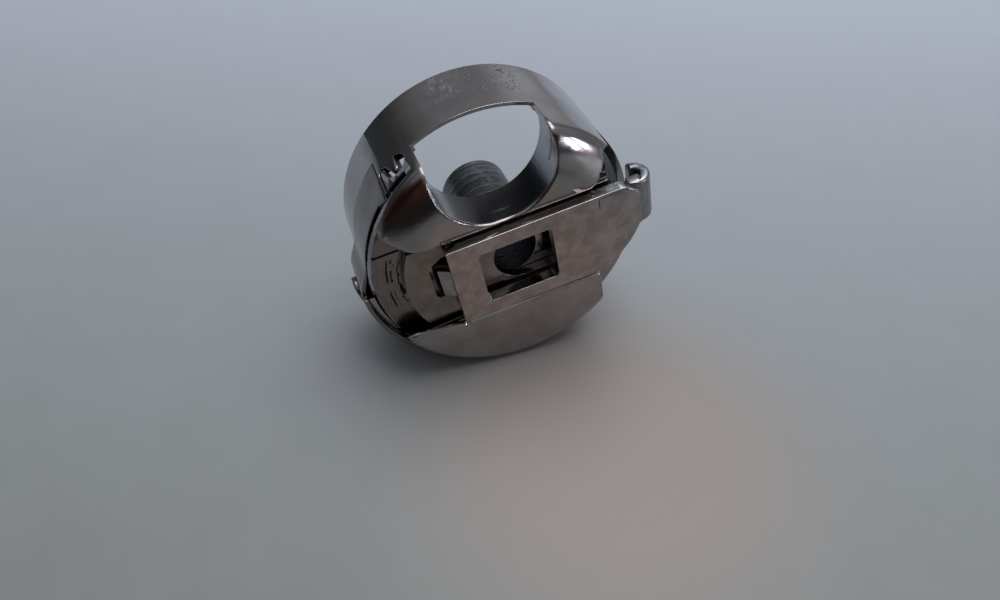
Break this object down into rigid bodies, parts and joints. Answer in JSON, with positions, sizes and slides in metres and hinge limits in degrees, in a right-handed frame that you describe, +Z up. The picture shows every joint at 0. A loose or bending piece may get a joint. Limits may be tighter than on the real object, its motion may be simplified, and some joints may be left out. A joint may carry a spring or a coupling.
{
  "type": "bobbin case",
  "caption": "Steel sewing-machine bobbin case standing on its rim: open cup with centre post, thread window, hinged latch across the front and leaf tension spring on the wall.",
  "frame": {"origin": "on the cup's axis, at the floor of the bobbin chamber (the back face of the front plate)", "axes": "+Y along the axis out of the cup's open rear, -Y out of the latched front face, +Z up as the case stands on a table, +X to the latch's tab side"},
  "size_m": [0.0243, 0.012, 0.0228],
  "materials": {
    "cup_steel": "polished turned steel",
    "latch_steel": "polished pressed steel",
    "slide_steel": "satin steel",
    "pin_steel": "bright ground steel",
    "spring_steel": "spring steel",
    "leaf_steel": "polished spring steel",
    "screw_steel": "slotted machine screw steel"
  },
  "bodies": {
    "case": {"case_body": "cup_steel", "tension_spring": "leaf_steel", "tension_fixing_screw": "screw_steel", "idle_prevention_spring": "spring_steel", "latch_spring": "spring_steel"},
    "slide": {"latch_slide": "slide_steel", "lever_hinge_pin": "pin_steel"},
    "lever": {"latch_lever": "latch_steel"},
    "adjuster": {"tension_adjusting_screw": "screw_steel"}
  },
  "joints": [
    {"name": "slide_travel", "type": "slide", "parent": "case", "child": "slide", "axis": [-0.9824, 0, -0.1868], "range_m": [0, 0.0009], "stiffness_N_per_m": 400, "springref_m": -0.001, "deforming": ["latch_spring"]},
    {"name": "lever_hinge", "type": "hinge", "parent": "slide", "child": "lever", "pos_m": [-0.00462, -0.00385, -0.00088], "axis": [0.1868, 0, -0.9824], "range_deg": [0, 90]},
    {"name": "tension_adjustment", "type": "hinge", "parent": "case", "child": "adjuster", "pos_m": [-0.01076, 0.0016, -0.00376], "axis": [-0.944, 0, -0.33], "range_deg": [-180, 180]}
  ],
  "couplings": [
    {"joint": "lever_hinge", "follows": "slide_travel", "rad_per_m": 1745.3}
  ]
}
